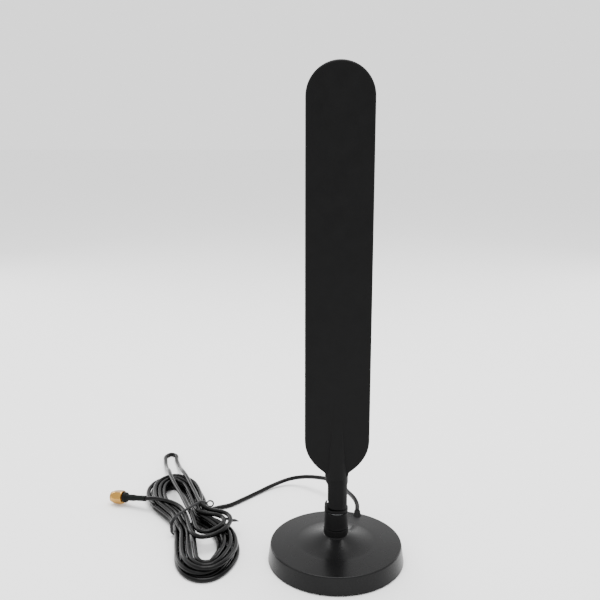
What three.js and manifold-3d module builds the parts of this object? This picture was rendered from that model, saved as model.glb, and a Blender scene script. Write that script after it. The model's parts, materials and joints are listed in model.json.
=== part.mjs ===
// Magnetic base paddle antenna: a flat rounded blade on a folding, swivelling neck, screwed to the SMA
// jack of a round magnetic base, with a coaxial cord in a tied hank and an SMA plug on its free end.
// Millimetres, +Z up. The base's axis is the Z axis and the whole thing stands on z = 0.
import * as THREE from "three";
import { mergeVertices } from "three/addons/utils/BufferGeometryUtils.js";
import Module from "manifold-3d";

const wasm = await Module();
wasm.setup();

// ---- Driving sizes ----
const BASE_RADIUS = 40; // at the floor
const RIM_RADIUS = 38.5; // where the side wall meets the domed top
const RIM_HEIGHT = 10.9;
const CONE_RADIUS = 24; // foot of the concave cone
const CONE_HEIGHT = 11.9;
const BOSS_RADIUS = 7.3;
const BOSS_HEIGHT = 16.8;
const SHELL_WALL = 1.8;
const FLOOR_GAP = 0.4; // the shell hangs this far above the floor, the foot pad touches it

const PAD_THICKNESS = 1.0;
const PLATE_BOTTOM = 1.1;
const PLATE_TOP = 2.3;
const MAGNET_BOTTOM = 2.4;
const MAGNET_TOP = 5.6;
const YOKE_TOP = 6.4;
const SCREW_CIRCLE = 31.5;
const SCREW_COUNT = 3;
const SCREW_START = 6; // degrees, keeps the posts clear of the boot

const THREAD_RADIUS = 3.15; // 1/4-36 UNS
const HEX_FLATS = 8; // SMA nuts are 8 mm across their flats
const JACK_TOP = 25.4;
const RING_TOP = 20.8;
const SLEEVE_BOTTOM = 20.95;
const SLEEVE_TOP = 31.0;
const SLEEVE_RADIUS = 6.95;

const KNUCKLE_BOTTOM = 31.5;
const KNUCKLE_SEAT = 33.5; // top of the knuckle's round flange
const KNUCKLE_RADIUS = 6.9;
const PIVOT_HEIGHT = 43.5;
const PIN_RADIUS = 1.2;
const TONGUE_HALF = 2.3;
const TONGUE_RADIUS = 6.0;
const TONGUE_LEFT = 4.7; // the tongue is flat on this side, behind the ears' relief
const NECK_RADIUS = 6.7;
const NECK_BOTTOM = 33.9;
const EAR_INNER = 2.6; // ear's inner face, from the middle
const EAR_OUTER = 5.75;
const EAR_LEFT = 4.85; // the ears are relieved to this on the side the blade folds towards
const EAR_TOP = 52.6; // top of the ears' flats
const EAR_SWING = 9.4; // radius of the ears' lower left corner, about the pivot

const TOTAL_HEIGHT = 284;
const BLADE_HALF_WIDTH = 18.4;
const BLADE_HALF_THICKNESS = 4;
const BLADE_BEVEL = 1.4;
const BLADE_STRAIGHT_FROM = 75.5; // the straight edges start at this height
const NECK_TO_BLADE = 54; // the neck starts to widen into the blade here
const BLADE_FLARE_FROM = [8.9, 57.4]; // end of the fillet between the neck and the blade's lower curve
const BLADE_FLARE_ANGLE = 38; // degrees above the horizon, where the lower curve leaves the fillet
const RIDGE_TOP = 106; // the neck's half-cone fades into the blade's face here
const BLADE_WALL = 1.5;

const CORD_RADIUS = 1.4; // RG174
const CORD_GAP = 0.3;
const SHRINK_RADIUS = 2.1;
const PLUG_HEIGHT = 4.75; // axis above the floor at the nose: the nut turns clear of it
const PLUG_AZIMUTH = -22; // degrees, direction from the plug's nose towards the cord
const PLUG_RISE = 7.5; // degrees
const HANK_BOTTOM = 1.3;
const HANK_TOP = 11.3;

// ---- Helpers ----
const radians = THREE.MathUtils.degToRad;
const group = new THREE.Group();

/** A closed three.js geometry as a manifold-3d solid. */
function toSolid(geometry) {
  const bare = geometry.clone();
  bare.deleteAttribute("normal");
  bare.deleteAttribute("uv");
  const merged = mergeVertices(bare, 1e-4);
  return new wasm.Manifold(
    new wasm.Mesh({
      numProp: 3,
      vertProperties: merged.getAttribute("position").array,
      triVerts: new Uint32Array(merged.index.array),
    }),
  );
}

/** A manifold-3d solid as a three.js geometry. */
function toGeometry(solid) {
  const mesh = solid.getMesh();
  const geometry = new THREE.BufferGeometry();
  geometry.setAttribute("position", new THREE.Float32BufferAttribute(mesh.vertProperties, 3));
  geometry.setIndex(Array.from(mesh.triVerts));
  geometry.computeVertexNormals();
  return geometry;
}

/** Adds one named mesh, from a geometry or from a solid. */
function add(name, shape, material) {
  const geometry = shape.isBufferGeometry ? shape : toGeometry(shape);
  const mesh = new THREE.Mesh(geometry, new THREE.MeshStandardMaterial(material));
  mesh.name = name;
  group.add(mesh);
  return mesh;
}

/** A solid turned about Z from [radius, height] pairs, given either way round. */
function turned(profile, segments = 32) {
  const points = profile.map(([radius, height]) => new THREE.Vector2(radius, height));
  if (THREE.ShapeUtils.area(points) < 0) points.reverse();
  const closesOnAxis = points[0].x === 0 && points[points.length - 1].x === 0;
  if (!closesOnAxis) points.push(points[0].clone());
  return new THREE.LatheGeometry(points, segments).rotateX(Math.PI / 2);
}

/** A washer or sleeve with a square section. */
function ring(inner, outer, bottom, top, segments = 32) {
  return turned([[inner, bottom], [outer, bottom], [outer, top], [inner, top]], segments);
}

/** A round bar along Z. */
function bar(radius, bottom, top, segments = 24) {
  return turned([[0, bottom], [radius, bottom], [radius, top], [0, top]], segments);
}

function box(x0, x1, y0, y1, z0, z1) {
  return new THREE.BoxGeometry(x1 - x0, y1 - y0, z1 - z0).translate((x0 + x1) / 2, (y0 + y1) / 2, (z0 + z1) / 2);
}

/** Extrudes an outline drawn in X and Z, from y0 to y1. */
function plate(shape, y0, y1, curveSegments = 16) {
  const options = { depth: y1 - y0, bevelEnabled: false, curveSegments };
  return new THREE.ExtrudeGeometry(shape, options).rotateX(Math.PI / 2).translate(0, y1, 0);
}

/** A round tube or rod along a curve, closed at both ends. */
function rod(points, radius, steps, sides = 8) {
  const section = new THREE.Shape();
  section.absarc(0, 0, radius, 0, Math.PI * 2, false);
  const curve = new THREE.CatmullRomCurve3(points.map((p) => new THREE.Vector3(...p)), false, "centripetal");
  return new THREE.ExtrudeGeometry(section, { steps, extrudePath: curve, curveSegments: sides });
}

/** A hexagonal nut with a stepped round bore: bores is a list of [radius, bottom, top]. */
function hexNut(bores) {
  const bottom = bores[0][1];
  const top = bores[bores.length - 1][2];
  const corner = HEX_FLATS / Math.sqrt(3);
  const chamfer = 0.4;
  const hexagon = turned([[0, bottom], [corner, bottom], [corner, top], [0, top]], 6);
  const rounded = turned(
    [
      [0, bottom],
      [corner - chamfer, bottom],
      [corner + 0.01, bottom + chamfer],
      [corner + 0.01, top - chamfer],
      [corner - chamfer, top],
      [0, top],
    ],
    36,
  );
  let nut = toSolid(hexagon).intersect(toSolid(rounded));
  for (const [radius, from, to] of bores) nut = nut.subtract(toSolid(bar(radius, from - 0.01, to + 0.01)));
  return nut;
}

// ---- Materials ----
const SHELL_PLASTIC = { color: 0x2b2b2c, roughness: 0.42, metalness: 0 };
const BLADE_PLASTIC = { color: 0x262627, roughness: 0.6, metalness: 0 };
const RUBBER = { color: 0x171717, roughness: 0.85, metalness: 0 };
const CABLE_JACKET = { color: 0x161617, roughness: 0.5, metalness: 0 };
const STEEL = { color: 0xb9bcc0, roughness: 0.35, metalness: 1 };
const BLACK_METAL = { color: 0x1b1b1d, roughness: 0.4, metalness: 0.8 };
const GOLD = { color: 0xd8a850, roughness: 0.25, metalness: 1 };
const COPPER = { color: 0xc27a4a, roughness: 0.4, metalness: 1 };
const FERRITE = { color: 0x2c2b2a, roughness: 0.8, metalness: 0.2 };
const PTFE = { color: 0xf0efea, roughness: 0.6, metalness: 0 };
const BOARD = { color: 0x2e5a34, roughness: 0.55, metalness: 0 };

// ---- Base ----
// The boot leaves the shell through its top rear edge, slanting up.
const bootInner = new THREE.Vector3(14.6, 27.4, 8.0);
const bootOuter = new THREE.Vector3(15.0, 35.2, 12.6);
const bootAxis = bootOuter.clone().sub(bootInner).normalize();
const bootLength = bootOuter.distanceTo(bootInner);
const BOOT_RADIUS = 2.3;

/** Moves a geometry built along +Z from the origin onto the boot's axis. */
function ontoBoot(geometry) {
  const turn = new THREE.Quaternion().setFromUnitVectors(new THREE.Vector3(0, 0, 1), bootAxis);
  return geometry.applyQuaternion(turn).translate(bootInner.x, bootInner.y, bootInner.z);
}

/** The concave cone between the boss and the flat annulus. */
function coneHeight(radius) {
  const share = (CONE_RADIUS - radius) / (CONE_RADIUS - BOSS_RADIUS);
  return CONE_HEIGHT + (BOSS_HEIGHT - 0.5 - CONE_HEIGHT) * share ** 1.55;
}

function screwPlace(index) {
  const angle = radians(SCREW_START + (360 / SCREW_COUNT) * index);
  return [SCREW_CIRCLE * Math.cos(angle), SCREW_CIRCLE * Math.sin(angle)];
}

function baseShell() {
  const outer = [
    [BOSS_RADIUS - 0.4, BOSS_HEIGHT],
    [BOSS_RADIUS, BOSS_HEIGHT - 0.5],
  ];
  const coneSteps = 7;
  for (let i = 1; i <= coneSteps; i += 1) {
    const radius = BOSS_RADIUS + ((CONE_RADIUS - BOSS_RADIUS) * i) / coneSteps;
    outer.push([radius, coneHeight(radius)]);
  }
  outer.push([RIM_RADIUS - 1.0, RIM_HEIGHT]);
  outer.push([RIM_RADIUS - 0.3, RIM_HEIGHT - 0.3]);
  outer.push([RIM_RADIUS, RIM_HEIGHT - 1.0]);
  outer.push([BASE_RADIUS, FLOOR_GAP]);
  const inner = [
    [BASE_RADIUS - SHELL_WALL, FLOOR_GAP],
    [RIM_RADIUS - SHELL_WALL, RIM_HEIGHT - SHELL_WALL],
    [CONE_RADIUS, CONE_HEIGHT - SHELL_WALL],
    [15, coneHeight(15) - SHELL_WALL],
    [9.5, 12.9],
    [7, 14.6],
    [THREAD_RADIUS + 0.15, 14.6],
    [THREAD_RADIUS + 0.15, BOSS_HEIGHT],
  ];
  let shell = toSolid(turned([...outer, ...inner], 72));
  for (let i = 0; i < SCREW_COUNT; i += 1) {
    const [x, y] = screwPlace(i);
    shell = shell.add(toSolid(bar(2.8, PLATE_TOP + 0.1, 10).translate(x, y, 0)));
    shell = shell.subtract(toSolid(bar(1.35, PLATE_TOP, 8).translate(x, y, 0)));
  }
  return shell.subtract(toSolid(ontoBoot(bar(BOOT_RADIUS + 0.35, -3, bootLength + 3))));
}

function basePlate() {
  let disc = toSolid(bar(36.4, PLATE_BOTTOM, PLATE_TOP, 64));
  for (let i = 0; i < SCREW_COUNT; i += 1) {
    const [x, y] = screwPlace(i);
    const countersink = [[0, PLATE_BOTTOM - 0.01], [3.0, PLATE_BOTTOM - 0.01], [1.7, PLATE_TOP + 0.01], [0, PLATE_TOP + 0.01]];
    disc = disc.subtract(toSolid(turned(countersink, 24).translate(x, y, 0)));
  }
  return disc;
}

add("base_shell", baseShell(), SHELL_PLASTIC);
add("foot_pad", bar(38.0, 0, PAD_THICKNESS, 64), RUBBER);
add("base_plate", basePlate(), STEEL);
add("magnet_ring", ring(11, 27, MAGNET_BOTTOM, MAGNET_TOP, 48), FERRITE);
add("flux_plate", ring(12, 27.5, MAGNET_TOP + 0.1, YOKE_TOP, 48), STEEL);
for (let i = 0; i < SCREW_COUNT; i += 1) {
  const [x, y] = screwPlace(i);
  const profile = [[0, 1.2], [2.7, 1.2], [1.2, 2.35], [1.2, 7.5], [0, 7.5]];
  add(`base_screw_${i + 1}`, turned(profile, 20).translate(x, y, 0), STEEL);
}

const bootProfile = [
  [0, 0],
  [BOOT_RADIUS, 0],
  [BOOT_RADIUS, 6.4],
  [BOOT_RADIUS - 0.2, 7.6],
  [1.75, bootLength],
  [0, bootLength],
];
add("cable_boot", ontoBoot(turned(bootProfile, 24)), RUBBER);

const innerCoaxHeight = YOKE_TOP + CORD_RADIUS + 0.2;
const bootAlong = new THREE.Vector2(bootInner.x, bootInner.y).normalize();
const innerCoaxEnd = new THREE.Vector3().copy(bootInner).addScaledVector(bootAxis, -3 * CORD_GAP);
const innerCoaxRoute = [
  [0, 0, innerCoaxHeight - 0.3],
  [bootAlong.x * 14, bootAlong.y * 14, innerCoaxHeight],
  [innerCoaxEnd.x - 0.5, innerCoaxEnd.y - 5, innerCoaxHeight],
  innerCoaxEnd.toArray(),
];
add("base_coax", rod(innerCoaxRoute, CORD_RADIUS, 14), CABLE_JACKET);

// SMA jack, a bulkhead type: flange inside the shell, nut and washer outside it under the rubber ring
const jackProfile = [
  [2.1, 9.7],
  [3.0, 9.7],
  [3.0, 12.9],
  [5.2, 12.9],
  [5.2, 14.4],
  [THREAD_RADIUS, 14.4],
  [THREAD_RADIUS, JACK_TOP - 0.3],
  [THREAD_RADIUS - 0.3, JACK_TOP],
  [2.1, JACK_TOP],
];
add("sma_jack_body", turned(jackProfile), GOLD);
add("jack_insulator", ring(0.75, 2.0, 10.2, 24.9, 20), PTFE);
const socketProfile = [[0, 9.6], [0.65, 9.6], [0.65, 24.6], [0.5, 24.6], [0.5, 20.4], [0, 20.4]];
add("jack_socket", turned(socketProfile, 16), GOLD);
add("jack_lock_washer", ring(THREAD_RADIUS + 0.2, 4.9, BOSS_HEIGHT + 0.1, BOSS_HEIGHT + 0.5, 24), STEEL);
add("jack_nut", hexNut([[THREAD_RADIUS + 0.15, BOSS_HEIGHT + 0.6, BOSS_HEIGHT + 2.6]]), GOLD);
const ringProfile = [
  [5.2, BOSS_HEIGHT + 0.1],
  [7.05, BOSS_HEIGHT + 0.1],
  [7.15, BOSS_HEIGHT + 0.5],
  [7.15, RING_TOP - 0.3],
  [6.85, RING_TOP],
  [5.2, RING_TOP],
];
add("seal_ring", turned(ringProfile, 40), RUBBER);

// ---- Antenna connector ----
const sleeveProfile = [
  [4.85, SLEEVE_BOTTOM],
  [SLEEVE_RADIUS - 0.15, SLEEVE_BOTTOM],
  [SLEEVE_RADIUS + 0.05, SLEEVE_BOTTOM + 0.4],
  [SLEEVE_RADIUS - 0.1, SLEEVE_TOP - 0.25],
  [SLEEVE_RADIUS - 0.35, SLEEVE_TOP],
  [2.9, SLEEVE_TOP],
  [2.9, 29.7],
  [4.85, 29.7],
];
add("coupling_sleeve", turned(sleeveProfile, 40), SHELL_PLASTIC);
add("antenna_sma_nut", hexNut([[3.45, 21.4, 27.5], [2.75, 27.5, 29.4]]), GOLD);
const plugBodyProfile = [
  [1.9, JACK_TOP + 0.15],
  [3.1, JACK_TOP + 0.15],
  [3.1, 27.3],
  [2.5, 27.3],
  [2.5, 35.6],
  [1.9, 35.6],
];
add("antenna_plug_body", turned(plugBodyProfile), GOLD);
add("antenna_plug_insulator", ring(0.6, 1.8, JACK_TOP + 0.3, 33.4, 20), PTFE);
const antennaPinProfile = [[0, 20.6], [0.2, 20.6], [0.42, 21.1], [0.42, 34.2], [0, 34.2]];
add("antenna_plug_pin", turned(antennaPinProfile, 12), GOLD);
add("swivel_washer", ring(3.0, 6.2, SLEEVE_TOP + 0.1, KNUCKLE_BOTTOM - 0.1), STEEL);

// ---- Hinge knuckle ----
const hingeCoaxRoute = [
  [0, 0, 34.5],
  [0.3, 0, 36.6],
  [3.1, 0, 39.6],
  [3.5, 0, 43.5],
  [3.5, 0, 48.6],
];

/** A bar along Y through the pivot. */
function pivotBar(radius, y0, y1, segments = 40) {
  return bar(radius, y0, y1, segments).rotateX(-Math.PI / 2).translate(0, 0, PIVOT_HEIGHT);
}

function knuckle() {
  const flange = toSolid(
    turned(
      [
        [0, KNUCKLE_BOTTOM],
        [KNUCKLE_RADIUS - 0.25, KNUCKLE_BOTTOM],
        [KNUCKLE_RADIUS, KNUCKLE_BOTTOM + 0.25],
        [KNUCKLE_RADIUS, KNUCKLE_SEAT - 0.15],
        [KNUCKLE_RADIUS - 0.15, KNUCKLE_SEAT],
        [0, KNUCKLE_SEAT],
      ],
      40,
    ),
  );
  const shoulderProfile = [[0, KNUCKLE_SEAT - 0.3], [KNUCKLE_RADIUS - 0.1, KNUCKLE_SEAT - 0.3]];
  const shoulderSteps = 4;
  for (let i = 0; i <= shoulderSteps; i += 1) {
    const angle = radians((90 * i) / shoulderSteps);
    shoulderProfile.push([KNUCKLE_RADIUS - 1.6 + 1.5 * Math.cos(angle), 34.9 + 1.5 * Math.sin(angle)]);
  }
  shoulderProfile.push([0, 36.4]);
  const leftEdge = toSolid(box(-8, -EAR_LEFT - 0.4, -8, 8, KNUCKLE_SEAT - 0.5, 38));
  const shoulder = toSolid(turned(shoulderProfile, 40)).intersect(leftEdge);
  const tongueStem = toSolid(box(-4.4, 5.2, -TONGUE_HALF, TONGUE_HALF, KNUCKLE_SEAT - 0.5, PIVOT_HEIGHT));
  const tongueReach = toSolid(box(-TONGUE_LEFT, 8, -8, 8, KNUCKLE_SEAT, PIVOT_HEIGHT + 8));
  const tongueTop = toSolid(pivotBar(TONGUE_RADIUS, -TONGUE_HALF, TONGUE_HALF)).intersect(tongueReach);
  const whole = flange.add(shoulder).add(tongueStem).add(tongueTop);
  return whole
    .subtract(toSolid(bar(2.8, KNUCKLE_BOTTOM - 1, 36)))
    .subtract(toSolid(pivotBar(PIN_RADIUS + 0.15, -4, 4, 24)))
    .subtract(toSolid(rod([...hingeCoaxRoute, [3.5, 0, 51]], 1.1, 12)));
}

add("hinge_knuckle", knuckle(), SHELL_PLASTIC);
add("hinge_coax", rod(hingeCoaxRoute, 0.85, 12), CABLE_JACKET);
add("hinge_pin", pivotBar(PIN_RADIUS, -5.5, 5.5, 24), STEEL);

// ---- Blade ----
/** The blade's outline, from the neck up to the crown, drawn inset from its edge. */
function bladeShape(inset) {
  const half = BLADE_HALF_WIDTH - inset;
  const neck = NECK_RADIUS - inset;
  const crown = TOTAL_HEIGHT - BLADE_HALF_WIDTH;
  const slant = new THREE.Vector2(Math.cos(radians(BLADE_FLARE_ANGLE)), Math.sin(radians(BLADE_FLARE_ANGLE)));
  const flare = new THREE.Vector2(BLADE_FLARE_FROM[0] - inset * slant.y, BLADE_FLARE_FROM[1] + inset * slant.x);
  const corner = flare.y - ((flare.x - neck) * slant.y) / slant.x;
  const pull = flare.clone().addScaledVector(slant, 5.3 - 0.4 * inset);
  const upperPull = BLADE_STRAIGHT_FROM - 8.7 + 0.6 * inset;
  const shape = new THREE.Shape();
  shape.moveTo(neck, NECK_TO_BLADE);
  shape.quadraticCurveTo(neck, corner, flare.x, flare.y);
  shape.bezierCurveTo(pull.x, pull.y, half, upperPull, half, BLADE_STRAIGHT_FROM);
  shape.lineTo(half, crown);
  shape.absarc(0, crown, half, 0, Math.PI, false);
  shape.lineTo(-half, BLADE_STRAIGHT_FROM);
  shape.bezierCurveTo(-half, upperPull, -pull.x, pull.y, -flare.x, flare.y);
  shape.quadraticCurveTo(-neck, corner, -neck, NECK_TO_BLADE);
  shape.closePath();
  return shape;
}

function bladeBody() {
  const outline = new THREE.ExtrudeGeometry(bladeShape(BLADE_BEVEL), {
    depth: 2 * (BLADE_HALF_THICKNESS - BLADE_BEVEL),
    bevelThickness: BLADE_BEVEL,
    bevelSize: BLADE_BEVEL,
    bevelSegments: 2,
    curveSegments: 18,
  });
  outline.translate(0, 0, -(BLADE_HALF_THICKNESS - BLADE_BEVEL)).rotateX(Math.PI / 2);
  const neckProfile = [
    [0, NECK_BOTTOM],
    [NECK_RADIUS, NECK_BOTTOM],
    [NECK_RADIUS, NECK_TO_BLADE + 1],
    [BLADE_HALF_THICKNESS - 0.02, RIDGE_TOP],
    [0, RIDGE_TOP],
  ];
  const neck = toSolid(turned(neckProfile, 32));
  return toSolid(outline).add(neck);
}

/** Takes the fork between the ears, the flats and the hinge's clearances out of the neck. */
function cutFork(body) {
  const below = NECK_BOTTOM - 1;
  const slot = toSolid(box(-8, 8, -EAR_INNER, EAR_INNER, below, PIVOT_HEIGHT));
  const slotTop = toSolid(pivotBar(TONGUE_RADIUS + 0.5, -EAR_INNER, EAR_INNER));
  const slotSides = toSolid(box(-8, 8, -EAR_INNER, EAR_INNER, PIVOT_HEIGHT - 1, PIVOT_HEIGHT + 5.4));
  const frontFlat = toSolid(box(-8, 8, -9, -EAR_OUTER, below, EAR_TOP));
  const backFlat = toSolid(box(-8, 8, EAR_OUTER, 9, below, EAR_TOP));
  const leftRelief = toSolid(box(-9, -EAR_LEFT, -9, 9, below, 46.6));
  const reliefRamp = new THREE.Shape();
  reliefRamp.moveTo(-EAR_LEFT, 46.5);
  reliefRamp.quadraticCurveTo(-EAR_LEFT, 49, -6.9, 51);
  reliefRamp.lineTo(-9, 51);
  reliefRamp.lineTo(-9, 46.5);
  reliefRamp.closePath();
  const ramp = toSolid(plate(reliefRamp, -9, 9, 6));
  const swing = toSolid(pivotBar(EAR_SWING, -9, 9));
  const lowerLeft = toSolid(box(-9, 0, -9, 9, below, PIVOT_HEIGHT)).subtract(swing);
  const pinHole = toSolid(pivotBar(PIN_RADIUS + 0.05, -5.6, 5.6, 24));
  return [slot, slotTop, slotSides, frontFlat, backFlat, leftRelief, ramp, lowerLeft, pinHole].reduce(
    (rest, cut) => rest.subtract(cut),
    body,
  );
}

/** The hollow for the board, with a channel down to the fork for the coax. */
function bladeHollow() {
  const depth = BLADE_HALF_THICKNESS - BLADE_WALL;
  const shape = new THREE.Shape();
  const half = BLADE_HALF_WIDTH - 2.4;
  const crown = TOTAL_HEIGHT - BLADE_HALF_WIDTH;
  shape.moveTo(half - 6, 70.5);
  shape.lineTo(half, 79);
  shape.lineTo(half, crown);
  shape.absarc(0, crown, half, 0, Math.PI, false);
  shape.lineTo(-half, 79);
  shape.lineTo(-half + 6, 70.5);
  shape.closePath();
  return toSolid(plate(shape, -depth, depth, 12)).add(toSolid(bar(1.7, 48, 72, 12)));
}

const SEAM_HALF_GAP = 0.05;
const bladeWalls = cutFork(bladeBody()).subtract(bladeHollow());
const frontHalf = toSolid(box(-40, 40, -20, -SEAM_HALF_GAP, 0, 400));
const rearHalf = toSolid(box(-40, 40, SEAM_HALF_GAP, 20, 0, 400));
add("blade_front_shell", bladeWalls.intersect(frontHalf), BLADE_PLASTIC);
add("blade_rear_shell", bladeWalls.intersect(rearHalf), BLADE_PLASTIC);

// ---- Board and radiating elements inside the blade ----
const BOARD_BOTTOM = 80;
const BOARD_TOP = 274;
const BOARD_HALF_WIDTH = 14;
const FEED_HEIGHT = 168;

const boardShape = new THREE.Shape();
boardShape.moveTo(BOARD_HALF_WIDTH, BOARD_BOTTOM);
boardShape.lineTo(BOARD_HALF_WIDTH, BOARD_TOP - 10);
boardShape.lineTo(BOARD_HALF_WIDTH - 8, BOARD_TOP);
boardShape.lineTo(-BOARD_HALF_WIDTH + 8, BOARD_TOP);
boardShape.lineTo(-BOARD_HALF_WIDTH, BOARD_TOP - 10);
boardShape.lineTo(-BOARD_HALF_WIDTH, BOARD_BOTTOM);
boardShape.closePath();
add("radiator_board", plate(boardShape, -0.5, 0.5), BOARD);

/** One flared arm of the wideband dipole, from the feed towards a far end. */
function dipoleArm(feed, far) {
  const direction = Math.sign(far - feed);
  const shape = new THREE.Shape();
  const flare = feed + direction * 16;
  const corners = [[1.2, feed], [11.5, flare], [11.5, far], [-11.5, far], [-11.5, flare], [-1.2, feed]];
  const ordered = direction > 0 ? corners : [...corners].reverse();
  ordered.forEach(([x, z], i) => (i === 0 ? shape.moveTo(x, z) : shape.lineTo(x, z)));
  shape.closePath();
  return plate(shape, -0.75, -0.6);
}

add("radiating_element", dipoleArm(FEED_HEIGHT + 1.2, BOARD_TOP - 12), COPPER);
add("ground_element", dipoleArm(FEED_HEIGHT - 1.2, BOARD_BOTTOM + 2), COPPER);
const bladeCoaxRoute = [
  [0, 0, 50.8],
  [0, 0, 68],
  [0, 1.2, 78],
  [0, 1.4, 120],
  [0, 1.4, FEED_HEIGHT],
];
add("blade_coax", rod(bladeCoaxRoute, 0.8, 24), CABLE_JACKET);

// ---- Cord ----
// Lead: up and back out of the boot, round behind the base, down to the floor and in to the hank
const leadStart = new THREE.Vector3().copy(bootOuter).addScaledVector(bootAxis, CORD_GAP);
const leadRise = new THREE.Vector3().copy(bootOuter).addScaledVector(bootAxis, 4);
const leadRoute = [
  leadStart.toArray(),
  leadRise.toArray(),
  [14.3, 43.0, 15.8],
  [12.4, 48.5, 16.2],
  [9.8, 54.8, 16.1],
  [5.1, 70.2, 15.0],
  [-3.3, 81.5, 12.5],
  [-16.9, 92.9, 8.5],
  [-28.2, 96.9, 5],
  [-39.4, 92.7, 2.5],
  [-50.2, 82.8, 1.5],
  [-60.5, 71.6, 1.5],
  [-68, 64.1, 1.5],
  [-74.5, 61.0, 1.5],
  [-80.0, 57.6, 1.5],
];
add("cord_lead", rod(leadRoute, CORD_RADIUS, 48), CABLE_JACKET);

// Hank: the outermost turn's centreline, seen from above, clockwise from the right of the waist
const hankTurn = [
  [-84.2, 49.5],
  [-80.6, 41.0],
  [-73.4, 34.0],
  [-66.4, 26.5],
  [-61.4, 16.0],
  [-59.4, 3.2],
  [-61.2, -8.5],
  [-65.5, -18.5],
  [-71.8, -24.6],
  [-79.0, -25.2],
  [-86.2, -20.5],
  [-92.0, -10.5],
  [-94.7, 2.5],
  [-96.6, 16.5],
  [-99.6, 28.5],
  [-103.8, 38.8],
  [-110.0, 47.5],
  [-117.2, 57.0],
  [-122.6, 69.5],
  [-124.0, 82.5],
  [-120.0, 93.5],
  [-111.5, 99.0],
  [-102.4, 95.8],
  [-93.4, 86.5],
  [-88.0, 73.5],
  [-84.6, 61.0],
];
const HANK_MARGIN = 2.6; // half a cord and the turns' spread, outside that centreline
const TOP_LOOP = { x: -74.2, y: 30.2, radius: 11.9 }; // the last turns lie on the front lobe and reach past it

/** The hank as one solid: the whole width of its turns, and the loop on top. */
function hank() {
  const centreline = new THREE.CatmullRomCurve3(
    hankTurn.map(([x, y]) => new THREE.Vector3(x, y, 0)),
    true,
    "centripetal",
  );
  const outline = [];
  const steps = 3 * hankTurn.length;
  for (let i = 0; i < steps; i += 1) {
    const place = centreline.getPoint(i / steps);
    const along = centreline.getTangent(i / steps);
    outline.push(new THREE.Vector2(place.x - along.y * HANK_MARGIN, place.y + along.x * HANK_MARGIN));
  }
  const turns = new THREE.ExtrudeGeometry(new THREE.Shape(outline), {
    depth: HANK_TOP - HANK_BOTTOM,
    bevelEnabled: false,
  }).translate(0, 0, HANK_BOTTOM);
  const loop = bar(TOP_LOOP.radius, HANK_TOP - 2 * CORD_RADIUS, HANK_TOP, 40).translate(TOP_LOOP.x, TOP_LOOP.y, 0);
  return toSolid(turns).add(toSolid(loop));
}

const hankBody = hank();

// Twist tie: a band round the waist of the hank, which lies in a groove of the hank's solid
const TIE_CENTRE = [-91.8, 38.2];
const TIE_AZIMUTH = 56; // degrees, direction along the band
const TIE_HALF_LENGTH = 16.3;
const TIE_HALF_WIDTH = 1.6;
const TIE_THICKNESS = 0.8;

function atTie(geometry) {
  return geometry.rotateZ(radians(TIE_AZIMUTH)).translate(TIE_CENTRE[0], TIE_CENTRE[1], 0);
}

function tieBlock(halfLength, halfWidth, bottom, top) {
  return toSolid(atTie(box(-halfLength, halfLength, -halfWidth, halfWidth, bottom, top)));
}

const tieInner = TIE_HALF_LENGTH - TIE_THICKNESS;
const tieBand = tieBlock(TIE_HALF_LENGTH, TIE_HALF_WIDTH, HANK_BOTTOM - CORD_GAP - TIE_THICKNESS, HANK_TOP + 0.2).subtract(
  tieBlock(tieInner, TIE_HALF_WIDTH + 1, HANK_BOTTOM - CORD_GAP, HANK_TOP + 0.2 - TIE_THICKNESS),
);
const grooveCut = tieBlock(TIE_HALF_LENGTH + 9, TIE_HALF_WIDTH + CORD_GAP, 0, HANK_TOP + 1);
const grooveCore = tieBlock(tieInner - CORD_GAP, TIE_HALF_WIDTH + 1, HANK_BOTTOM, HANK_TOP - 0.9);
add("cord_hank", hankBody.subtract(grooveCut).add(grooveCore.intersect(hankBody)), CABLE_JACKET);
add("twist_tie", tieBand, CABLE_JACKET);

// Stray loop: one turn that has slipped out of the hank and lies behind it
const strayRoute = [
  [-114.8, 103.4, 8.0],
  [-117.9, 115.0, 4.2],
  [-120.8, 126.5, 1.9],
  [-122.7, 136.0, 1.5],
  [-123.6, 142.6, 1.5],
  [-120.3, 147.6, 1.5],
  [-115.9, 144.6, 1.5],
  [-114.7, 137.6, 1.5],
  [-112.0, 128.5, 1.9],
  [-108.6, 116.5, 4.2],
  [-104.8, 102.8, 8.0],
];
add("cord_stray_loop", rod(strayRoute, CORD_RADIUS, 24), CABLE_JACKET);

// ---- Plug on the cord's free end ----
// Built along +Z from the nose at the origin, then laid down with its nose away from the hank: the stiff
// sleeve rises towards the hank's top turns.
const PLUG_NOSE = [-146.9, 70];

function ontoPlug(geometry) {
  return geometry
    .rotateY(radians(90 - PLUG_RISE))
    .rotateZ(radians(PLUG_AZIMUTH))
    .translate(PLUG_NOSE[0], PLUG_NOSE[1], PLUG_HEIGHT);
}

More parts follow.
